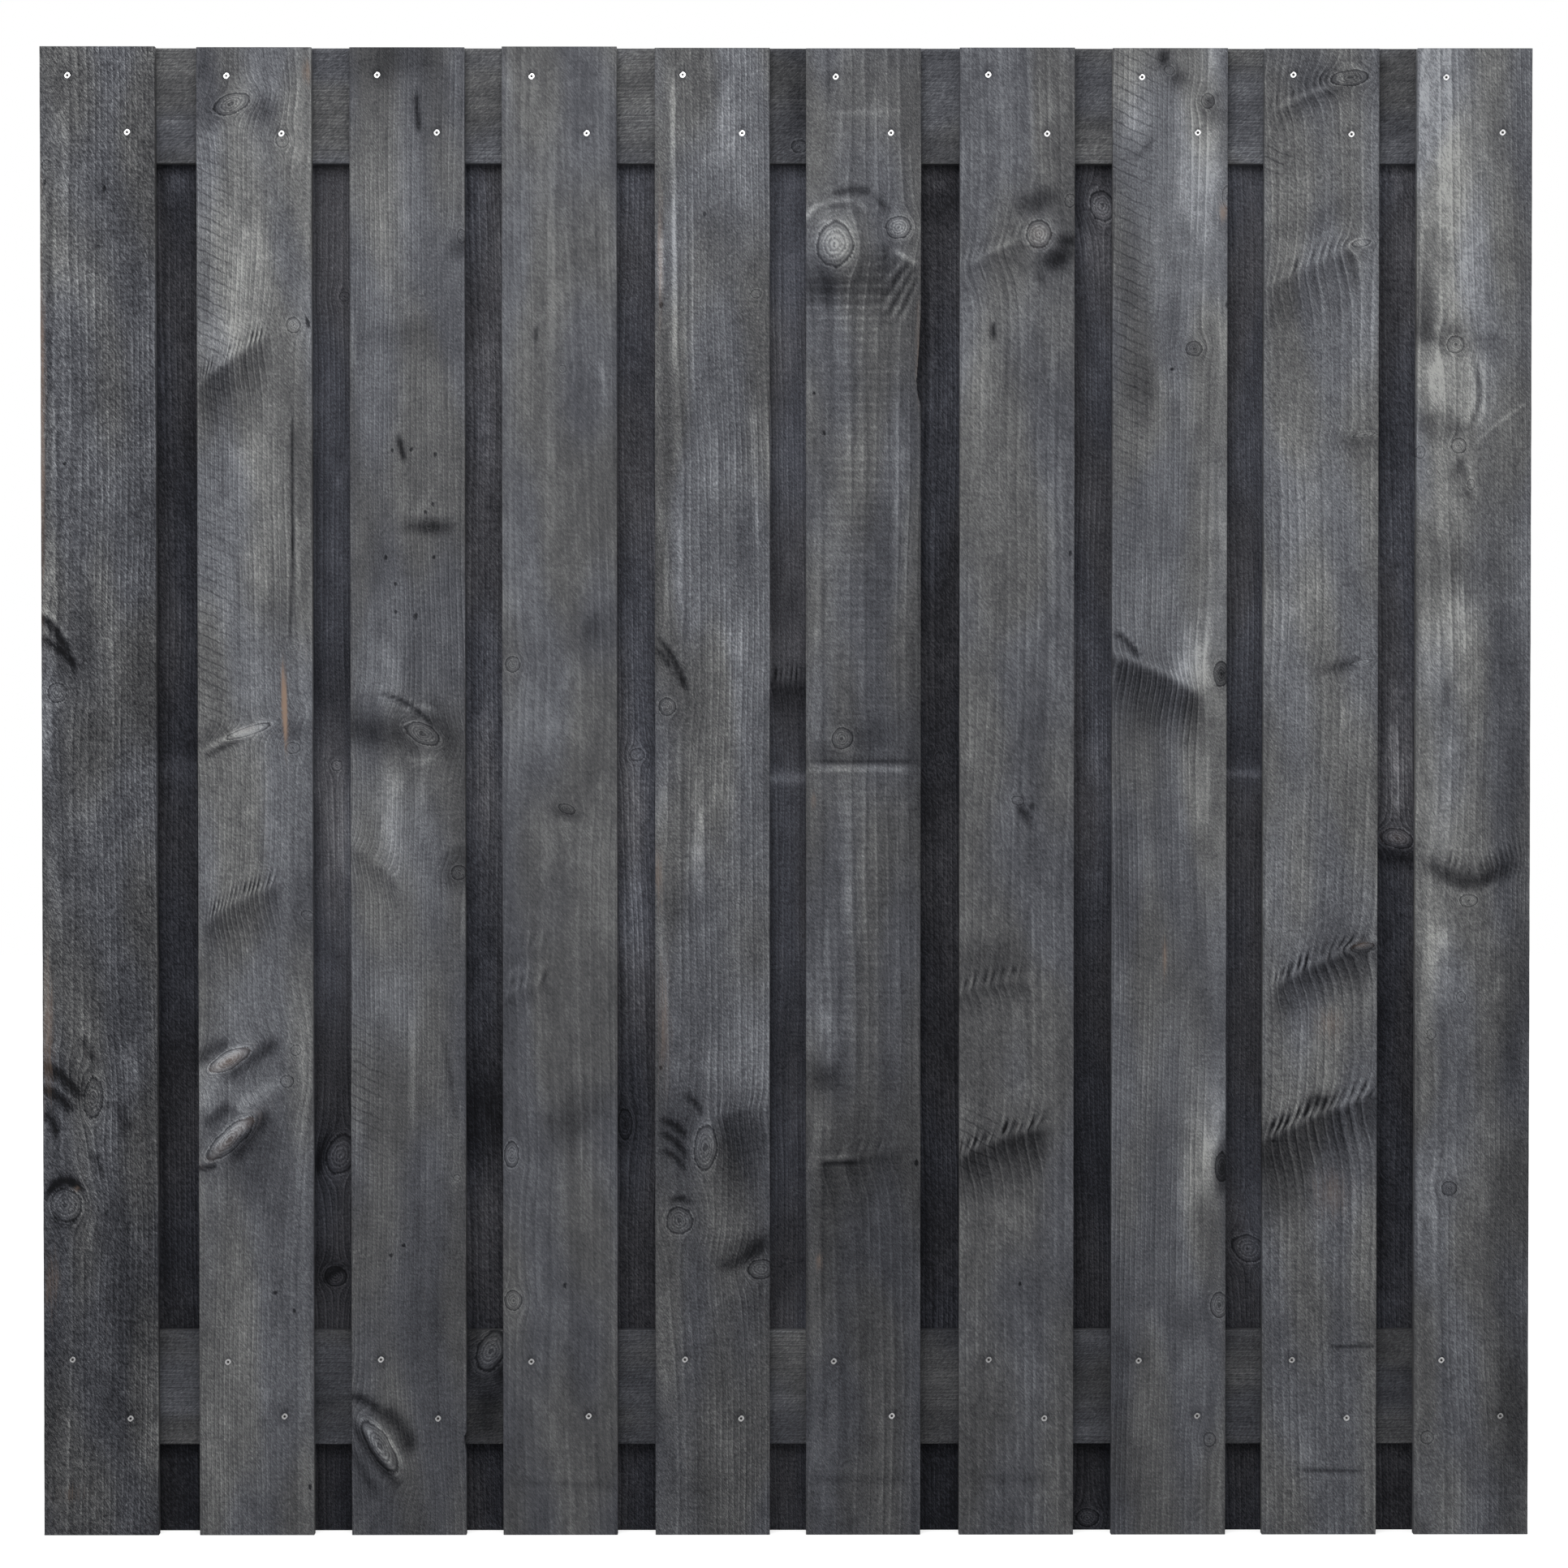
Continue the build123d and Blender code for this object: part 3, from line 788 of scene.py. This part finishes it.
            (136, 1526, 107, 1466, 0, 2.4, -0.12), (102, 1558, 137, 1537, 0, 2.4, 0.2),
        ],
        patches=[
            (26, 1514, 20, 16, -0.22), (84, 1518, 34, 24, -0.13), (118, 1050, 16, 420, -0.04),
            (25, 950, 14, 8, -0.08), (72, 1562, 11, 22, -0.02), (128, 1552, 7, 5, -20, 0.1),
            (35, 1563, 18, 22, 0.06), (75, 965, 16, 14, -0.08), (20, 555, 16, 12, -0.15),
            (70, 360, 90, 70, -0.07), (70, 150, 90, 120, -0.03), (20, 88, 20, 30, 0.05),
            (26, 1120, 26, 300, 0.06), (128, 1330, 14, 120, -0.05),
        ],
        silver=[
            (35, 1570, 22, 22, 0.2), (112, 1583, 13, 12, 0.3), (115, 1200, 8, 230, 0.3),
            (25, 620, 24, 28, 0.18), (15, 510, 14, 22, 0.1),
        ],
        bare=[(16, 333, 3, 7, 0.8), (9, 890, 3, 8, 0.6), (136, 1430, 3, 50, 0.5)],
        chatter=[(60, 1330, 40, 230, 0.35), (60, 700, 40, 200, 0.3), (50, 1500, 42, 26, 0.7)],
    ),
    7: dict(
        pith=(190, 60), tone=0.015, ring_width=10.5, contrast=0.9,
        knots=[(96, 1575, 14, 15), (133, 1615, 6, 7), (71, 891, 7, 5, -15)],
        marks=[(74, 305, 2, 3), (134, 1190, 2, 4)],
        bands=[
            (-8, 655, 90, 674, 22, 0.4, 8, 0.4), (-6, 457, 112, 499, 54, 0.85, 12, 0.9),
            (-4, 1532, 84, 1572, 50, 0.3, 12, 0.2),
        ],
        strokes=[
            (8, 1534, 74, 1570, 3, 3, 0.1), (41, 1444, 40, 1468, 0, 2, -0.3),
            (114, 900, 113, 1480, 0, 1.5, 0.07), (-4, 68, 143, 68, 0, 4, -0.05),
        ],
        patches=[
            (95, 1615, 16, 9, 20, -0.22), (117, 1545, 14, 9, 20, -0.28), (45, 700, 36, 16, -0.07),
            (131, 1567, 8, 5, -10, -0.24), (98, 1520, 4, 9, 30, -0.16), (60, 570, 40, 40, 0.02),
            (79, 875, 4, 8, 30, -0.3), (88, 884, 3, 3, -0.2), (20, 1350, 24, 260, 0.05),
            (124, 1640, 16, 130, -0.06),
        ],
        silver=[(96, 1575, 13, 14, 0.22)],
        bare=[(96, 1575, 13, 14, 0.4)],
        slant=[(20, 480, 22, 30, 0.8)],
    ),
    8: dict(
        pith=(130, 30), tone=0.03, ring_width=5.8,
        knots=[
            (68, 1772, 6, 5, -30), (115, 1735, 7.5, 8), (98, 1437, 9, 8), (138, 1619, 5, 12),
            (132, 1044, 8, 14), (134, 447, 7, 16), (131, 279, 9, 13), (120, 116, 7, 8),
        ],
        marks=[(72, 1412, 3, 2), (138, 1489, 2, 4)],
        bands=[(-4, 1068, 112, 1018, 60, 0.85, -10, 0.12)],
        strokes=[
            (22, 1662, 52, 1690, 0, 3, -0.08), (0, 1098, 34, 1062, 3, 3, -0.25),
            (1, 1104, 36, 1068, 3, 1.6, 0.1), (116, 1720, 132, 1745, 6, 3, -0.1),
        ],
        patches=[
            (20, 1510, 18, 60, -0.07), (35, 1385, 24, 24, -35, -0.07), (36, 390, 36, 80, -0.06),
            (115, 1735, 7, 7, -0.22), (133, 1044, 7, 13, -0.36), (135, 447, 6, 18, -0.5),
            (60, 1000, 40, 20, -0.05), (110, 260, 16, 24, -0.06), (61, 1787, 5, 7, -0.28),
            (79, 1762, 9, 9, -0.16), (122, 1718, 14, 9, -0.12), (98, 1437, 8, 7, -0.1),
            (50, 1550, 36, 80, 0.07), (128, 1150, 14, 90, 0.07), (128, 740, 14, 110, 0.07),
            (116, 1030, 8, 26, 20, 0.08), (116, 440, 8, 24, 0.08), (10, 790, 14, 70, -0.1),
            (8, 150, 12, 120, -0.1), (131, 279, 9, 13, -0.02), (24, 790, 16, 110, -0.04),
            (24, 90, 18, 30, -0.05), (116, 230, 16, 60, 0.05),
        ],
        silver=[
            (75, 1395, 12, 14, 0.16), (100, 1070, 13, 38, -20, 0.4), (125, 1050, 16, 26, 0.16),
            (100, 895, 16, 50, 0.25), (118, 480, 18, 34, 0.3), (92, 410, 12, 34, 0.14),
            (100, 1660, 18, 55, 0.24), (100, 1540, 24, 120, 0.12), (22, 1730, 16, 46, 0.3),
        ],
        bare=[(64, 700, 2, 20, 0.9), (134, 1601, 4, 8, 0.9)],
        slant=[(18, 1480, 20, 170, 0.7), (20, 700, 20, 240, 0.25), (22, 1740, 24, 60, 0.6)],
    ),
    9: dict(
        pith=(200, 50), tone=0.04, ring_width=10.0, contrast=1.1,
        knots=[
            (103, 1763, 20, 8, 5), (117, 1564, 10, 4, 10), (121, 1333, 12, 3, 10),
            (118, 1058, 12, 3, 12), (122, 714, 12, 4, 8),
        ],
        marks=[(13, 478, 2, 2)],
        bands=[
            (-4, 1504, 122, 1564, 60, 0.45, 10, 0.4), (6, 664, 146, 722, 38, 0.8, 10, 0.9),
            (-10, 474, 146, 538, 70, 0.85, 14, 1.1), (4, 1720, 96, 1759, 26, 0.35, 5, 0.4),
        ],
        strokes=[
            (10, 1722, 90, 1755, 4, 3, 0.1), (79, 228, 141, 230, 0, 1.6, -0.18),
            (40, 79, 128, 77, 0, 1.6, -0.18), (85, 1772, 124, 1768, 7, 2.2, 0.12),
        ],
        patches=[
            (60, 1590, 50, 14, 20, -0.08), (110, 1325, 20, 7, -0.1), (95, 1055, 20, 5, 15, -0.16),
            (103, 1763, 30, 18, -0.06), (22, 436, 20, 30, -0.06), (60, 1765, 60, 34, -0.08),
            (68, 528, 10, 6, -0.24), (50, 1250, 46, 190, 0.07), (20, 1210, 20, 70, -0.055),
            (20, 674, 18, 20, 0.05), (20, 860, 20, 130, 0.04), (120, 130, 20, 80, 0.05),
            (122, 478, 14, 20, 0.06),
        ],
        silver=[(66, 360, 10, 50, 0.12)],
        bare=[(80, 620, 16, 18, 0.5), (86, 415, 20, 24, 0.45), (120, 716, 10, 4, 8, 0.5)],
        slant=[(14, 1665, 16, 20, 0.8), (16, 560, 20, 60, 0.3)],
    ),
    10: dict(
        pith=(20, 36), tone=0.045, ring_width=5.4,
        knots=[
            (47, 1442, 9, 9), (51, 1320, 8, 8), (66, 1273, 4, 6), (16, 1288, 4, 4), (5, 1312, 5, 7),
            (65, 770, 10, 7), (56, 653, 5, 6), (20, 608, 5, 6), (42, 421, 8, 8), (17, 118, 7, 7),
        ],
        bands=[(-4, 826, 70, 795, 26, 0.2, 6, 0.3), (70, 795, 135, 826, 26, 0.2, -6, 0.3)],
        strokes=[
            (0, 830, 130, 830, -36, 11, -0.18), (20, 800, 110, 800, -22, 4, 0.1),
            (66, 1318, 139, 1375, 3, 1.6, 0.1), (60, 1430, 58, 1342, 9, 2.6, 0.12),
            (73, 1432, 71, 1336, 10, 2.6, 0.1), (86, 1428, 85, 1340, 9, 2.4, 0.08),
            (67, 1430, 65, 1338, 10, 2.2, -0.1), (20, 1424, 24, 1362, -4, 5, 0.08),
            (60, 1304, 70, 1250, 4, 2.6, 0.12),
        ],
        patches=[
            (12, 1486, 10, 34, -0.22), (20, 1345, 16, 12, -30, -0.14), (50, 1162, 20, 30, -0.06),
            (118, 1650, 22, 140, -0.06), (20, 1556, 18, 30, -0.08), (22, 1448, 18, 10, -20, -0.12),
            (44, 1462, 7, 9, -0.1), (50, 1340, 7, 9, -0.12), (54, 1296, 5, 9, -30, -0.14),
            (62, 1302, 6, 6, 0.12), (66, 1262, 6, 6, -0.1), (22, 1250, 16, 30, 0.06),
            (78, 1446, 22, 8, -0.06), (70, 1162, 20, 36, -0.06), (20, 1462, 18, 14, -0.07),
            (70, 1700, 22, 70, 0.05), (30, 790, 26, 120, 0.06), (122, 740, 18, 180, -0.05),
            (126, 560, 22, 340, -0.1), (124, 120, 20, 80, -0.07), (40, 1400, 40, 120, 0.03),
            (70, 1500, 30, 220, 0.06), (20, 1060, 14, 40, 0.1), (22, 690, 12, 40, 0.1),
            (42, 421, 8, 8, -0.1),
        ],
        silver=[
            (25, 1620, 25, 140, 0.26), (24, 1406, 16, 36, 0.04), (70, 1396, 9, 34, 0.06),
            (65, 1520, 26, 30, 0.1), (46, 1105, 24, 50, 0.34), (34, 900, 24, 70, 0.2),
            (28, 720, 9, 18, 0.25), (40, 665, 13, 18, 0.16), (105, 700, 16, 60, 0.14),
            (17, 430, 12, 40, 0.16),
        ],
    ),
}
back_figure = {
    1: dict(
        tone=-0.07,
        patches=[
            (70, 1400, 60, 200, -0.05), (70, 945, 40, 60, -0.03), (65, 930, 20, 10, 0.1),
            (70, 1640, 40, 12, 20, 0.06), (70, 1650, 60, 50, -0.06),
        ],
        silver=[(62, 1640, 12, 16, 0.1)],
    ),
    2: dict(
        knots=[(83, 1502, 6, 5), (73, 933, 6, 6), (76, 459, 15, 22, -15), (70, 311, 12, 11)],
        strokes=[(48, 430, 66, 490, 4, 4, -0.2), (54, 300, 84, 322, 5, 3, -0.24)],
        patches=[
            (70, 1050, 40, 40, -0.06), (70, 800, 60, 170, 0.1), (70, 966, 60, 36, 0.06),
            (70, 674, 60, 40, 0.05), (70, 478, 60, 60, -0.08), (76, 462, 12, 18, 0.07),
            (62, 318, 18, 20, -0.1),
        ],
        silver=[(80, 1250, 12, 80, 0.25), (76, 830, 12, 60, 0.25)],
    ),
    3: dict(
        patches=[
            (70, 380, 60, 50, 0.08), (70, 500, 60, 44, -0.12), (70, 1650, 60, 50, -0.07),
            (70, 860, 60, 60, 0.08), (70, 190, 60, 60, -0.06),
        ],
        silver=[(75, 1320, 16, 80, 0.2), (70, 965, 20, 40, 0.24)],
    ),
    4: dict(
        knots=[(54, 1514, 4, 4), (70, 946, 8, 7), (55, 496, 8, 16)],
        patches=[(55, 496, 10, 20, -0.12), (70, 860, 60, 150, 0.07)],
        silver=[(68, 800, 14, 110, 0.3)],
    ),
    5: dict(
        tone=0.02,
        bands=[(30, 1032, 110, 1030, 22, 0.4, 3, 0.5)],
        strokes=[(30, 918, 110, 918, 0, 5, 0.16)],
        patches=[(68, 1012, 24, 14, -0.06), (70, 1070, 60, 30, 0.07), (70, 190, 60, 60, 0.12)],
    ),
    6: dict(
        tone=-0.09,
        knots=[(70, 943, 5, 6)],
        strokes=[(60, 1000, 61, 1600, 0, 1.5, 0.1)],
        patches=[(70, 1620, 60, 20, -0.08)],
        silver=[(62, 1638, 12, 10, 0.25)],
    ),
    7: dict(
        knots=[(82, 1612, 13, 17, 25), (66, 15, 12, 10)],
        patches=[
            (70, 400, 60, 330, -0.04), (70, 870, 60, 50, 0.1), (70, 1660, 60, 40, -0.09),
            (60, 1596, 10, 22, 20, -0.16), (84, 1610, 10, 14, 0.08),
        ],
        silver=[(60, 1582, 14, 30, 0.36), (80, 940, 12, 40, 0.22)],
    ),
    8: dict(
        tone=-0.01,
        knots=[(78, 344, 18, 14, -25)],
        strokes=[(30, 923, 110, 923, 0, 4, 0.14)],
        patches=[(70, 396, 60, 44, 0.12)],
    ),
    9: dict(
        knots=[(75, 844, 18, 10, -12)],
        patches=[
            (75, 844, 18, 10, -12, 0.08), (75, 822, 24, 8, -12, -0.2), (70, 1060, 60, 120, 0.06),
        ],
        silver=[(75, 935, 12, 50, 0.4), (64, 1650, 12, 14, 0.2)],
        bare=[(75, 844, 16, 9, -12, 0.4)],
    ),
}
board_width = 139.0
front_rows = 290
front_columns = 55
back_rows = 150
back_columns = 31

# The long edges waver by wave about their wear, in waves of these lengths
edge_wear, edge_wave = 0.16, 0.05
edge_waves = (620, 240, 90, 31)

# Board 6 has an arris torn out below its knots, and board 3 a corner broken off low down: each is
# a profile of places and depths. Rows of points stand close together at their (height, half size).
torn_top, torn_length = 1488, 118
torn_profile = ((0, 0.45, 0.78, 0.93, 1), (0, 2.7, 5.6, 3.5, 0))
broken_profile = ((100, 114, 122, 123.5), (0, 2.7, 3.3, 0))
damage_busy = {3: [(112, 10)], 6: [(1430, 50)]}


def columns_through(screws, width, length, count):
    """Points across a face, at its foot and its head, in lines that run up through the screws.

    screws are (across, along) pairs, lower then upper on each rail. Each diagonal's lower and
    upper ones share a line, five points stand about each line, and the rest spread evenly.
    """
    lines = [np.polyfit(screws[i::2, 1], screws[i::2, 0], 1) for i in (0, 1)]
    middles = [np.polyval(line, length / 2) for line in lines]
    points = np.linspace(arris, width - arris, count)
    for middle in middles:
        points = points[np.abs(points - middle) > pit_clearance]
        points = np.concatenate([points, middle + pit_block])
    points = np.sort(points)
    if len(points) % 2 == 0:
        points = np.sort(np.append(points, (points[0] + points[1]) / 2))
    held = np.sort([arris, *middles, width - arris])
    faces = []
    for height in (0, length):
        moved = np.sort([arris, *[np.polyval(line, height) for line in lines], width - arris])
        faces.append(np.interp(points, held, moved))
    return faces, [int(np.argmin(np.abs(points - middle))) for middle in middles]


def stained_board(node, wood, stain, rows, columns, step, outward, edges):
    """Builds a board in its node's place, with a pit for each of its screws."""
    low, high = [np.array(corner) * 1000 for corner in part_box(node)]
    thickness, length = (high - low)[1:]
    screws = np.array([(centre[0] - low[0], centre[2]) for centre in heads[node]])
    faces, line_columns = columns_through(screws, board_width, length, columns)
    busy = [(spot[1], spot[3]) for spot in wood.get("knots", []) + wood.get("marks", [])]
    level = [s for s in wood.get("strokes", ()) if abs(s[2] - s[0]) > abs(s[3] - s[1])]
    for line in list(wood.get("bands", ())) + level:
        busy.append(((line[1] + line[3]) / 2, abs(line[3] - line[1]) / 2))
    busy += wood.get("busy", [])
    # Painted shadow: a small darker blot just above each screw, where the pit's upper rim would shade
    # the wood
    dark = [(across, along + 2, 4.5, 4, -0.12) for across, along in screws]
    wood = {**wood, "patches": wood.get("patches", []) + dark}
    heights = packed_rows(length, rows, busy, screws[:, 1])
    pits = []
    for number, (across, along) in enumerate(screws):
        row = int(np.argmin(np.abs(heights - along)))
        pits.append((line_columns[number % 2], row, across, along, outward))
    piece = timber(
        node + "_stained", wood, (board_width, thickness, length),
        lambda across, deep, along: (low[0] + across, low[1] + deep, along),
        faces, heights, step, edges, pits,
    )
    piece.data.materials.append(stain)
    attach(piece, "root")
    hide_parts(node)


def worn_edges(seed, damage):
    """How far a board's long edges stand in: a slow waver, and any damage to the right one."""
    draw = np.random.default_rng(seed + 900)
    waves = [(wavelength, draw.uniform(0, 2 * math.pi, 2)) for wavelength in edge_waves]

    def edges(along):
        left = right = edge_wear
        for wavelength, (left_turn, right_turn) in waves:
            left = left + edge_wave * np.sin(2 * math.pi * along / wavelength + left_turn)
            right = right + edge_wave * np.sin(2 * math.pi * along / wavelength + right_turn)
        left, right = np.maximum(left, 0), np.maximum(right, 0)
        if damage is not None:
            right = right + damage(along)
        return left, right

    return edges


def torn_below_knots(along):
    """Board 6: the torn profile down from its top, roughened by two waves of splintered fibres."""
    share = np.clip((torn_top - along) / torn_length, 0, 1)
    splinters = 1 + 0.12 * np.sin(along * 0.9) * np.sin(along * 0.37)
    return np.interp(share, *torn_profile) * splinters * 0.97


def broken_low_corner(along):
    """Board 3: the broken profile, a square shoulder above and a slant back out to the edge."""
    return np.interp(along, *broken_profile)


front_stain = stained_spruce("black stain on sawn spruce board", "#f5f6fa", "#fdfbf5")
damages = {3: broken_low_corner, 6: torn_below_knots}
# The front boards carry a slight painted light falloff, paler at the head and darker at the foot
for number, wood in front_figure.items():
    wood = {"seed": number, "painted_light_falloff": 1.0, "busy": damage_busy.get(number, []), **wood}
    stained_board(f"front_board_{number}", wood, front_stain, front_rows, front_columns, 2, -1,
                  worn_edges(number, damages.get(number)))

back_stain = stained_spruce("black stain on sawn spruce back board", "#eef0fb", "#f5f2f5")
# The back boards' front faces, which show in the gaps, are darkened with painted shade
for number, wood in back_figure.items():
    # A stronger painted light falloff on the back boards: darker towards the foot, paler towards the
    # head
    wood = {"seed": 20 + number, "pith": (30.0, -40.0), "contrast": 1.2, "tone": -0.03, "painted_gap_shade": -0.1,
            "painted_light_falloff": 3.0, "ring_width": 4.4, **wood}
    stained_board(f"back_board_{number}", wood, back_stain, back_rows, back_columns, 1, 1,
                  worn_edges(20 + number, None))


# The studio: a white sweep for the floor, a large soft lamp high before the panel and another
# behind it, an even pale room, and a long lens at chest height, square to the panel.
lens_length = 104.0
sensor_width = 36.0
camera_place = (-0.0238, -5.5, 1.024)
camera_pitch = -0.0206
camera_yaw = 0.0038
floor_half = 12.0
floor_lift = 0.7
lamp_places = {"front_lamp": (-0.5, -2.8, 3.4), "back_lamp": (0.5, 2.8, 3.4)}
lamp_size = 3.0
lamp_aim = (0.0, 0.0, 1.0)
lamp_power = 80.0
room_strength = 0.5

scene = bpy.context.scene
scene.view_settings.view_transform = "Standard"

camera = bpy.data.cameras.new("camera")
camera.lens = lens_length
camera.sensor_width = sensor_width
camera.clip_end = 100
viewer = bpy.data.objects.new("camera", camera)
viewer.location = camera_place
viewer.rotation_euler = (math.pi / 2 + camera_pitch, 0, -camera_yaw)
scene.collection.objects.link(viewer)
scene.camera = viewer

for name, place in lamp_places.items():
    lamp = bpy.data.lights.new(name, "AREA")
    lamp.shape = "DISK"
    lamp.size = lamp_size
    lamp.energy = lamp_power
    stand = bpy.data.objects.new(name, lamp)
    stand.location = place
    stand.rotation_euler = (Vector(lamp_aim) - Vector(place)).to_track_quat("-Z", "Y").to_euler()
    scene.collection.objects.link(stand)

world = bpy.data.worlds.new("white room")
world.use_nodes = True
scene.world = world
tree = world.node_tree
tree.nodes.clear()
path = add(tree, "LightPath").outputs
seen = path["Is Camera Ray"]
for ray in ("Is Glossy Ray", "Is Transmission Ray"):
    seen = add(tree, "Math", [(0, seen), (1, path[ray])], operation="MAXIMUM").outputs[0]
strength = add(tree, "MapRange", [("Value", seen), ("To Min", room_strength), ("To Max", 1.0)])
light = add(tree, "Background", [("Color", (1, 1, 1, 1)), ("Strength", strength.outputs[0])])
add(tree, "OutputWorld", [("Surface", light.outputs[0])])

mesh = bpy.data.meshes.new("floor")
corners = [(x * floor_half, y * floor_half, 0) for x, y in ((-1, -1), (1, -1), (1, 1), (-1, 1))]
mesh.from_pydata(corners, [], [(0, 1, 2, 3)])
floor = bpy.data.objects.new("floor", mesh)
scene.collection.objects.link(floor)
paint = bpy.data.materials.new("white matt paper sweep")
paint.use_nodes = True
tree = paint.node_tree
tree.nodes.clear()
path = add(tree, "LightPath").outputs
matt = add(tree, "BsdfDiffuse", [("Color", linear("#d8d8d8"))])
lift = add(tree, "Math", [(0, path["Is Camera Ray"]), (1, floor_lift)], operation="MULTIPLY")
glow = add(tree, "Emission", [("Color", (1, 1, 1, 1)), ("Strength", lift.outputs[0])])
both = add(tree, "AddShader", [(0, matt.outputs[0]), (1, glow.outputs[0])])
add(tree, "OutputMaterial", [("Surface", both.outputs[0])])
mesh.materials.append(paint)
